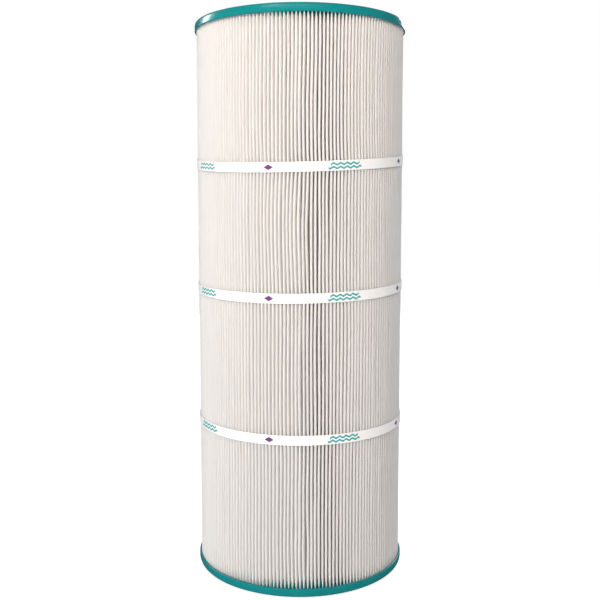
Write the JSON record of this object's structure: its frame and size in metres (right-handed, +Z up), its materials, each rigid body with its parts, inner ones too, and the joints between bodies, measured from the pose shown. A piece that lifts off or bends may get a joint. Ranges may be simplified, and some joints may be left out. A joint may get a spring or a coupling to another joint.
{
  "type": "pool filter cartridge",
  "caption": "Tall pleated filter cartridge: white folded media round a perforated core, moulded teal end caps with open centres, and straps round the pleats.",
  "frame": {"origin": "on the cartridge's axis, at the sealing face of the bottom end cap", "axes": "+Z up along the cartridge's axis, +Y to the back, where the media's seam and the straps' laps are, +X to the right"},
  "size_m": [0.227, 0.227, 0.5905],
  "materials": {
    "end_cap": "glossy cast polyurethane, teal",
    "media": "matt spunbond polyester sheet, white",
    "strap": null,
    "core": "satin white moulded plastic",
    "seam_bead": "translucent cream hot-melt glue"
  },
  "bodies": {
    "root": {"top_end_cap": "end_cap", "bottom_end_cap": "end_cap", "pleated_media": "media", "media_seam_bead": "seam_bead", "upper_strap": "strap", "middle_strap": "strap", "lower_strap": "strap", "core_section_1": "core", "core_section_2": "core", "core_section_3": "core", "core_section_4": "core"}
  },
  "joints": []
}
